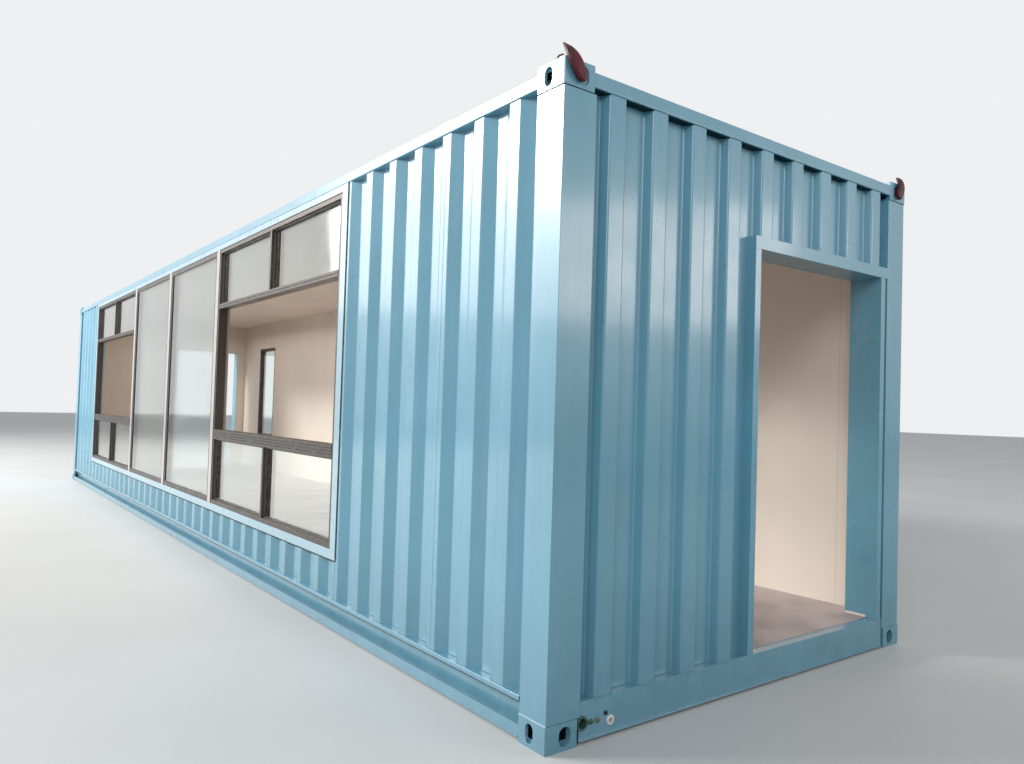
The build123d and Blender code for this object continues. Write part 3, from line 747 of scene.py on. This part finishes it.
# %% Helpers for bars, loops and beads
def skin(rings, closed=False):
    """Rings of points, each joined to the next one. A closed skin comes back to its first ring."""
    count, number = len(rings[0]), len(rings)
    pairs = [(i, (i + 1) % number) for i in range(number if closed else number - 1)]
    faces = [(i * count + k, i * count + (k + 1) % count, j * count + (k + 1) % count, j * count + k)
             for i, j in pairs for k in range(count)]
    if not closed:
        last = (number - 1) * count
        faces += [tuple(range(count)), tuple(range(last + count - 1, last - 1, -1))]
    return [point for ring in rings for point in ring], faces


def box_section(a, b, c, d):
    """The four corners of a rectangular section, from (a, b) to (c, d)."""
    return [(a, b), (c, b), (c, d), (a, d)]


def bar(section, place, start, end):
    """A straight bar: a section of (across, up) points run from start to end."""
    return skin([[place(run, a, b) for a, b in section] for run in (start, end)])


def inner_corners(low_x, high_x, low_z, high_z, inwards, y):
    """The corners of an upright rectangle, moved inwards."""
    corners = box_section(low_x + inwards, low_z + inwards, high_x - inwards, high_z - inwards)
    return [(x, y, z) for x, z in corners]


def loop(section, *sides):
    """A rectangular loop with mitred corners: a section of (inwards, y) points."""
    return skin(list(zip(*(inner_corners(*sides, inwards, y) for inwards, y in section))), True)


def wave_bead(section, line, to_point, z):
    """A bead along a sheet's line: a section of (outwards, up) points."""
    edges = [[to_point(spot.x, spot.y, z + up) for spot in moved(line, out)] for out, up in section]
    return skin(list(zip(*edges)))


def circle(steps):
    """Cosine and sine of angles spread evenly round a circle."""
    return [(math.cos(math.tau * k / steps), math.sin(math.tau * k / steps)) for k in range(steps)]


def turned(profile, centre_y, centre_z, steps=40):
    """A ring turned about a line along X: its profile is (x, radius) points."""
    return skin([[(x, centre_y + r * c, centre_z + r * s) for x, r in profile]
                 for c, s in circle(steps)], True)


print("helpers for bars, loops and beads are ready")

# %% Beads at the foot of the walls and between their sheets
weld_leg = 0.004
fillet = [(0.0, 0.0), (weld_leg, 0.0), (0.66 * weld_leg, 0.66 * weld_leg), (0.0, weld_leg)]
foot_beads = [wave_bead(fillet, long_line, side, wall_foot) for side in (front_point, rear_point)]
for end, to_point in ends.items():
    node = f"{end}_wall_side"
    foot_beads.append(wave_bead(fillet, end_line(node), to_point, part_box(node)[0].z))
finish_piece("wall_foot_welds", foot_beads, dull_weld)

waves_to_a_sheet, seam_count = 4, 10
ridge = [(-0.0024, 0.0), (-0.0012, 0.0010), (0.0012, 0.0010), (0.0024, 0.0)]
seams = []
for k in range(seam_count):
    seam_x = long_centres[-4] + wave_pitch / 2 - k * waves_to_a_sheet * wave_pitch
    front_top = surround_low.z if surround_low.x < seam_x < surround_high.x else wall_top
    seams.append(bar(ridge, lambda z, a, out: front_point(seam_x + a, -out, z), wall_foot, front_top))
    if not window_low.x < seam_x < window_high.x:
        seams.append(bar(ridge, lambda z, a, out: rear_point(seam_x + a, -out, z), wall_foot, wall_top))
finish_piece("wall_sheet_seams", seams, blue_paint)
print("foot beads", len(foot_beads), "upright seams", len(seams))

# %% Lip, painted shadow line and bent foot of the bottom rails
rail_low, rail_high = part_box("front_bottom_rail")
face_x, face_y = half_length - frame_inset, half_width - frame_inset
rail_sections = {
    "lips": [(0.0, 0.1500), (0.0034, 0.1522), (0.0038, 0.1600),
             (0.0034, 0.1690), (0.0018, 0.1712), (-0.0040, 0.1712)],
    "feet": [(0.0, 0.062), (0.0036, 0.0150), (0.0028, 0.0125), (0.0, 0.0125)],
    "dirt_lines": [(-0.001, 0.1500), (0.0006, 0.1497), (0.0006, 0.1466), (-0.001, 0.1462)],
}
for kind, section in rail_sections.items():
    bars = [bar(section, lambda run, out, z: (run, side * (face_y + out), z), rail_low.x, rail_high.x)
            for side in (-1, 1)]
    # the dark strip under the lip is painted shadow
    finish, sharp_above = (dark_shade_finish, 35) if kind == "dirt_lines" else (blue_paint, 50)
    finish_piece("bottom_rail_" + kind, bars, finish, sharp_above)
print("rail dressed from", round(rail_low.x, 3), "to", round(rail_high.x, 3), "m")

# %% [markdown]
# ## Where the frame's parts meet
#
# The posts are welded to the castings. Above the bottom castings the bead on each long
# side is in the paler surround paint, so part of the bright line along it is a painted
# highlight, and under the top castings a thin dark strip is painted shadow. The header
# over each end wall is a hollow beam: from below one looks into the dark between it and
# the recesses of the sheet, and a dark strip under the header is painted shade for that
# dark. A thin plate closes the open end of each door head.

# %% Beads, painted shadows and caps
post_x, post_y = half_length - 0.178, half_width - 0.162  # how far beads and dirt reach in
low_z, high_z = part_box("corner_castings_bottom")[1].z, casting_low.z
bead = [(0.0, low_z), (0.0036, low_z), (0.0025, low_z + 0.0026), (0.0, low_z + 0.0038)]
shadow_line = box_section(-0.001, high_z, 0.0008, high_z - 0.0030)
post_beads, casting_shadow_lines = [], []
for sx in (-1, 1):
    for sy in (-1, 1):
        def along_x(run, out, up):
            return sx * run, sy * (face_y + out), up

        def along_y(run, out, up):
            return sx * (face_x + out), sy * run, up

        post_beads.append(bar(bead, along_x, post_x, face_x))
        casting_shadow_lines += [bar(shadow_line, along_x, post_x, face_x), bar(shadow_line, along_y, post_y, face_y)]
# the paler surround paint on the beads is a painted highlight along them
finish_piece("casting_welds", post_beads, surround_paint)
# the thin dark strips under the top castings are painted shadow
finish_piece("casting_dirt_lines", casting_shadow_lines, dark_shade_finish)


def block(sx, back, front, foot, top, low_y, high_y):
    """A thin block across the door end (sx 1) or the far end (sx -1), measured back from the castings."""
    return bar(box_section(back, foot, front, top),
               lambda run, inset, z: (sx * (half_length - inset), run, z), low_y, high_y)


header_low, header_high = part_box("door_end_header")
header_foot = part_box("door_end_wall_side")[1].z
# dark strips under the headers: painted shade between header and sheet recesses
shades = [block(sx, 0.0550, 0.0108, header_foot - 0.0025, header_foot - 0.0003,
                header_low.y + 0.001, header_high.y - 0.001) for sx in (-1, 1)]
finish_piece("header_underside_shade", shades, header_shade)

head_caps = []
for end, sx in (("door_end", 1), ("far_end", -1)):
    head_top, jamb_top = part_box(f"{end}_door_head")[1].z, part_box(f"{end}_door_jambs")[1].z
    cap_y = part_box(f"{end}_wall_side")[1].y
    head_caps.append(block(sx, 0.057, 0.0045, jamb_top + 0.0005, head_top - 0.0005,
                           cap_y + 0.0004, cap_y + 0.0030))
finish_piece("door_head_end_caps", head_caps, blue_paint)
print("castings have", len(post_beads), "beads and", len(casting_shadow_lines), "painted shadows")

# %% [markdown]
# ## Double panes and how they are held
#
# A window like this is glazed with sealed double panes: two sheets of float glass with a
# dark spacer between them. The pane stands in the window bars between two black rubber
# gaskets, and a bronze bead is clipped in on each side. The two tall fixed lights have a
# thicker double pane, whose outer sheet stands almost level with the posts, so their
# glass shows no reveal. The CAD model has one thick pane in each light. Its size is read
# here, and one function draws the parts of all eleven lights in the panes' places.

# %% Read the lights from the CAD panes
def panes_of(node):
    """Low and high corner of each separate pane in a CAD node."""
    mesh, panes = nodes[node].data, []
    spots = [tuple(round(c, 4) for c in vertex.co) for vertex in mesh.vertices]
    for polygon in mesh.polygons:
        pane = {spots[i] for i in polygon.vertices}
        pane = pane.union(*(other for other in panes if other & pane))
        panes = [other for other in panes if not other & pane] + [pane]
    return sorted((tuple(map(min, *pane)), tuple(map(max, *pane))) for pane in panes)


pane_thickness = 0.004


def glazed_light(low, high, outwards, flush):
    """Parts of a light by kind. Depths are counted inwards from the outer face of its CAD pane."""
    sides = low[0], high[0], low[2], high[2]
    glass_y = low[1] if outwards < 0 else high[1]

    def ring(start, *points):
        return loop([(inwards, glass_y - outwards * (start + depth)) for inwards, depth in points], *sides)

    def pane(front):
        back = front + pane_thickness
        rims = [(0.0015, front), (0.0, front + 0.0006), (0.0, back - 0.0006), (0.0015, back)]
        return skin([inner_corners(*sides, inwards, glass_y - outwards * depth) for inwards, depth in rims])

    # depths of the outer and the inner sheet, and how far the outer bead stands before them
    first, second, bead_depth = (-0.023, 0.0, 0.0072) if flush else (0.0, 0.016, 0.0165)
    gap, inner_face = second - first - 0.0002, second + pane_thickness
    return {
        "panes": [pane(first), pane(second)],
        "spacers": [ring(first, *box_section(0.0, 0.0042, 0.011, gap))],
        "gaskets": [ring(first, (0.0, -0.0035), (0.012, -0.0030), (0.012, -0.0002), (0.0, -0.0002)),
                    ring(inner_face, (0.0, 0.0002), (0.012, 0.0002), (0.012, 0.0030), (0.0, 0.0035))],
        "beads": [ring(first, (0.0, -0.0036), (0.0095, -0.0036), (0.0095, -0.0060),
                       (0.0070, 0.0005 - bead_depth), (0.0050, -bead_depth), (0.0, -bead_depth)),
                  ring(inner_face, (0.0, 0.0165), (0.0070, 0.0150), (0.0095, 0.0060),
                       (0.0095, 0.0036), (0.0, 0.0036))],
    }


kinds = {"panes": (glass, "window_glass"), "spacers": (black_rubber, "window_glass"),
         "gaskets": (black_rubber, "window_glass"), "beads": (bronze, "bronze_aluminium")}
light_count = 0
window_sides = {"near_window": -1, "far_window": -1, "fixed_window": -1, "rear_window": 1}
for window, outwards in window_sides.items():
    gathered = {kind: [] for kind in kinds}
    for low, high in panes_of(window + "_glass"):
        for kind, parts in glazed_light(low, high, outwards, window == "fixed_window").items():
            gathered[kind] += parts
        light_count += 1
    for kind, (finish, slot_name) in kinds.items():
        piece = finish_piece(f"{window}_{kind}", gathered[kind], finish, 25)
        if kind == "panes":
            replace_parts(piece, window + "_glass")
print("glazed lights", light_count)

# %% [markdown]
# ## Transoms and seals
#
# The bars that cross an outer bay are clad with an extruded cover. Its grooves keep rain
# from running along it, and each holds a black strip, which makes the dark lines seen
# along the lower transom. Rubber lines the joint between each window frame and its
# surround, and a dark fillet round the surround on the corrugated sheet is painted shade
# in the gap beside it.

# %% Grooved faces of the transoms and black seals round the frames
frame_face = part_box("near_window_frame")[0].y
cover_depth, groove_depth = 0.0028, 0.0004


def on_frame(run, out, z):
    """A place on the outer face of the window frames."""
    return (run, frame_face + out, z)


covers, strips, framed = [], [], []
for window in ("near_window", "far_window"):
    lights = panes_of(window + "_glass")
    left, right = min(low[0] for low, high in lights), max(high[0] for low, high in lights)
    lower_top = min(high[2] for low, high in lights)
    upper_bottom = max(low[2] for low, high in lights)
    for foot, top, grooves in ((lower_top + 0.002, lower_top + 0.076, 3),
                               (upper_bottom - 0.038, upper_bottom - 0.002, 1)):
        outline = [(0.0, foot), (-cover_depth, foot + 0.001)]
        for k in range(1, grooves + 1):
            middle = foot + k * (top - foot) / (grooves + 1)
            outline += [(-cover_depth, middle - 0.0060), (-groove_depth, middle - 0.0050),
                        (-groove_depth, middle + 0.0050), (-cover_depth, middle + 0.0060)]
            strip = box_section(-0.0003, middle - 0.0046, -0.0008, middle + 0.0046)
            strips.append(bar(strip, on_frame, left, right))
        covers.append(bar(outline + [(-cover_depth, top - 0.001), (0.0, top)], on_frame, left, right))
    low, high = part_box(window + "_frame")
    framed.append((low.x, high.x, low.z, high.z))
fixed_low, fixed_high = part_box("fixed_window_frames")
fixed_panes = panes_of("fixed_window_glass")
bar_width = fixed_panes[0][0][0] - fixed_low.x
framed += [(low[0] - bar_width, high[0] + bar_width, fixed_low.z, fixed_high.z)
           for low, high in fixed_panes]
rubber = [(-0.0010, frame_face - 0.0010), (0.0005, frame_face - 0.0028), (0.0036, frame_face - 0.0012),
          (0.0036, frame_face + 0.0004), (-0.0010, frame_face + 0.0004)]
finish_piece("transom_covers", covers, bronze, 20)
finish_piece("transom_groove_strips", strips, black_rubber, 20)
frame_seals = [loop(rubber, *sides) for sides in framed]
finish_piece("window_frame_seals", frame_seals, black_rubber)

# a dark fillet along the edge of the surround: painted shade
shade_fillet = [(0.0, -0.0002), (0.0, -0.0050), (0.0100, -0.0002)]
surround_shades = [bar(shade_fillet, lambda z, a, out: front_point(x + side * a, out, z), surround_low.z, wall_top)
              for x, side in ((surround_high.x, 1), (surround_low.x, -1))]
surround_shades.append(bar(shade_fillet, lambda run, a, out: front_point(run, out, surround_low.z - a),
                      surround_low.x, surround_high.x))
finish_piece("surround_edge_shade", surround_shades, dark_shade_finish)
print("transom covers", len(covers), "frame seals", len(framed))

# %% [markdown]
# ## Pipe ends and cable glands at the near sill
#
# Water and current come in through the sill of the door end. A green drain pipe and a
# white supply pipe end flush in collars, turned on a lathe like any pipe fitting. Cables
# pass through glands: a hexagon nut that clamps a rubber ring, with a round cap before
# it. All of them are rings turned about a line along X, apart from the hexagon nuts.

# %% Pipes and glands
plate_x, tip_x = half_length - sheet_inset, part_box("service_stubs")[1].x
bore_x, collar_x, nut_x = plate_x - 0.030, plate_x + 0.0045, plate_x + 0.0040


def pipe_end(y, z, outer, inner, flange):
    """A pipe end with a collar against the sill."""
    return [turned([(bore_x, outer), (plate_x, outer), (plate_x, flange - 0.001), (plate_x + 0.001, flange),
                    (plate_x + 0.0035, flange), (collar_x, flange - 0.001), (collar_x, outer),
                    (tip_x - 0.001, outer), (tip_x, outer - 0.001), (tip_x, inner + 0.001),
                    (tip_x - 0.001, inner), (bore_x, inner)], y, z)]


def cable_gland(y, z, radius):
    """A gland: hexagon nut, round cap and the dark mouth in it."""
    hexagon = [(y + radius * c, z + radius * s) for c, s in circle(6)]
    nut = bar(hexagon, lambda run, a, b: (run, a, b), plate_x, nut_x)
    cap = turned([(nut_x, 0.86 * radius), (tip_x - 0.002, 0.84 * radius),
                  (tip_x - 0.0005, 0.62 * radius), (tip_x - 0.0005, 0.45 * radius),
                  (nut_x, 0.42 * radius)], y, z, 28)
    return [nut, cap]


def shade_in_bore(y, z, radius):
    """A dark disc deep in a pipe's bore, painted shade, 1.5 mm thick with a pinhole as its centre."""
    return turned(box_section(plate_x - 0.0200, 0.0001, plate_x - 0.0185, radius), y, z, 28)


drain = (-half_width + 0.176, 0.078)
supply = (-half_width + 0.317, 0.060)
fittings = {
    "drain_pipe_end": (pipe_end(*drain, 0.0255, 0.0195, 0.0290), green_pipe, 50),
    "supply_pipe_end": (pipe_end(*supply, 0.0175, 0.0100, 0.0200), white_pipe, 50),
    "first_cable_gland": (cable_gland(-half_width + 0.219, 0.075, 0.0115), green_gland, 40),
    "second_cable_gland": (cable_gland(-half_width + 0.252, 0.075, 0.0125), olive_gland, 40),
    "third_cable_gland": (cable_gland(-half_width + 0.294, 0.093, 0.0090), black_rubber, 40),
}
for name, (parts, finish, sharp_above) in fittings.items():
    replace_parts(finish_piece(name, parts, finish, sharp_above), "service_stubs")
# dark discs deep in the two bores: painted shade
bore_shade_discs = [shade_in_bore(*drain, 0.0193), shade_in_bore(*supply, 0.0099)]
finish_piece("pipe_bore_shade", bore_shade_discs, black_rubber)
print("service fittings reach x", round(tip_x, 4), "m")

# %% [markdown]
# ## Forged lifting hooks
#
# Each top casting of the door end carries a forged hook. Its foot goes into the end hole,
# where a steel plate fills the rest of the hole, and its claw rises past the top edge and
# tapers to a blunt tip. A forging swells and thins without an edge, so the claw is one flat
# oval section swept along a curved spine, with its own width at each point. The front
# hook leans outwards, the rear one stands nearly upright.

# %% Hooks
def smooth_path(points, parts=5):
    """A smooth path through points, each a list of numbers."""
    made = []
    for i in range(len(points) - 1):
        a, b, c, d = (points[max(0, min(len(points) - 1, i + k))] for k in (-1, 0, 1, 2))
        for step in range(parts):
            t = step / parts
            made.append([0.5 * (2 * q + (r - p) * t + (2 * p - 5 * q + 4 * r - u) * t * t
                                + (3 * q - p - 3 * r + u) * t ** 3) for p, q, r, u in zip(a, b, c, d)])
    return made + [list(points[-1])]


def oval(value):
    """A cosine or sine pushed outwards a little, so that a circle becomes a fuller oval."""
    return math.copysign(abs(value) ** 0.8, value)


def forged_bar(stations, half_thickness, full_width=0.016, sides=24):
    """A closed bar with a flat oval section: stations of x, y, z and half width."""
    path = smooth_path(stations)
    spots = [Vector(station[:3]) for station in path]
    rings = []
    for i, (spot, station) in enumerate(zip(spots, path)):
        way = direction(spots, i)
        through = (Vector((1, 0, 0)) - way * way.x).normalized()
        across = way.cross(through)
        wide, thick = station[3], half_thickness * min(1.0, station[3] / full_width)
        rings.append([tuple(spot + across * wide * oval(c) + through * thick * oval(s))
                      for c, s in circle(sides)])
    return skin(rings)


hole_y, hole_z = half_width - 0.0895, roof_height - 0.052
claw_widths = (0.004, 0.018, 0.026, 0.030, 0.030, 0.025, 0.014, 0.004)
front_spine = ((6.112, -1.152, 2.505), (6.112, -1.149, 2.514), (6.112, -1.155, 2.534),
               (6.113, -1.165, 2.553), (6.112, -1.179, 2.575), (6.108, -1.192, 2.598),
               (6.090, -1.202, 2.625), (6.062, -1.202, 2.652))
rear_spine = ((6.112, 1.132, 2.496), (6.112, 1.133, 2.506), (6.112, 1.137, 2.526),
              (6.113, 1.144, 2.548), (6.112, 1.149, 2.572), (6.108, 1.151, 2.594),
              (6.098, 1.147, 2.613), (6.086, 1.140, 2.627))
claws = [forged_bar([(*spot, width) for spot, width in zip(spine, claw_widths)], 0.013)
         for spine in (front_spine, rear_spine)]


def in_hole(section, y, start, end):
    """A bar along X through an end hole at a place y."""
    return bar(section, lambda run, a, b: (run, y + a, hole_z + b), start, end)


shank = box_section(-0.013, -0.022, 0.013, 0.022)
claws += [in_hole(shank, y, half_length - 0.050, 6.114) for y in (-hole_y - 0.008, hole_y)]
hooks = finish_piece("forged_hooks", claws, hook_paint, 50)
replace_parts(hooks, "lifting_hooks")

plate_radius, plate_straight = 0.0275, 0.009
plate_outline = [(plate_radius * c, math.copysign(plate_straight, 11.5 - k) + plate_radius * s)
                 for k, (c, s) in enumerate(circle(24))]
plates = [in_hole(plate_outline, y, half_length - 0.014, half_length - 0.006)
          for y in (-hole_y, hole_y)]
finish_piece("hook_foot_plates", plates, blue_paint, 40)
print("hooks with foot plates", len(plates))

# %% [markdown]
# ## A few links of chain by the near hook
#
# The hook was used with a sling, and some links of its chain are left on the corner
# casting. A link is a round wire bent to a flat oval, so it is a small circle swept
# round a path of two straights and two half circles. Each link turns a quarter against
# the one before it.

# %% Chain links
link_wire, link_bend, link_straight = 0.0035, 0.0085, 0.012


def chain_link(centre, along, up, steps=10, sides=8):
    """One link: a wire swept round an oval."""
    across = along.cross(up)
    rings = []
    for k in range(2 * steps):
        angle = math.pi * (k + 0.5) / steps
        cosine, sine = math.cos(angle), math.sin(angle)
        reach = math.copysign(link_straight / 2, cosine) + link_bend * cosine
        spot, outwards = centre + along * reach + across * link_bend * sine, along * cosine + across * sine
        rings.append([tuple(spot + outwards * link_wire * c + up * link_wire * s)
                      for c, s in circle(sides)])
    return skin(rings, True)


links = []
for x, y, heading, tilt in ((6.066, -1.196, 205, 8), (6.046, -1.203, 190, 76),
                            (6.026, -1.200, 150, 12)):
    heading, tilt = math.radians(heading), math.radians(tilt)
    along = Vector((math.cos(heading), math.sin(heading), 0))
    side = Vector((-along.y, along.x, 0))
    up = (Vector((0, 0, 1)) * math.cos(tilt) + side * math.sin(tilt)).normalized()
    rise = link_wire + 0.0095 * math.sin(tilt)
    links.append(chain_link(Vector((x, y, roof_height + rise)), along, up))
finish_piece("chain_links", links, chain_steel, 60)
print("links", len(links))

# %% [markdown]
# ## Measure and finish
#
# The bounds of the dressed cabin are worked out and printed.

# %% Print the cabin's bounds
low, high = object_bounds()
print("this box", [round(v, 4) for v in (*low, *high)])
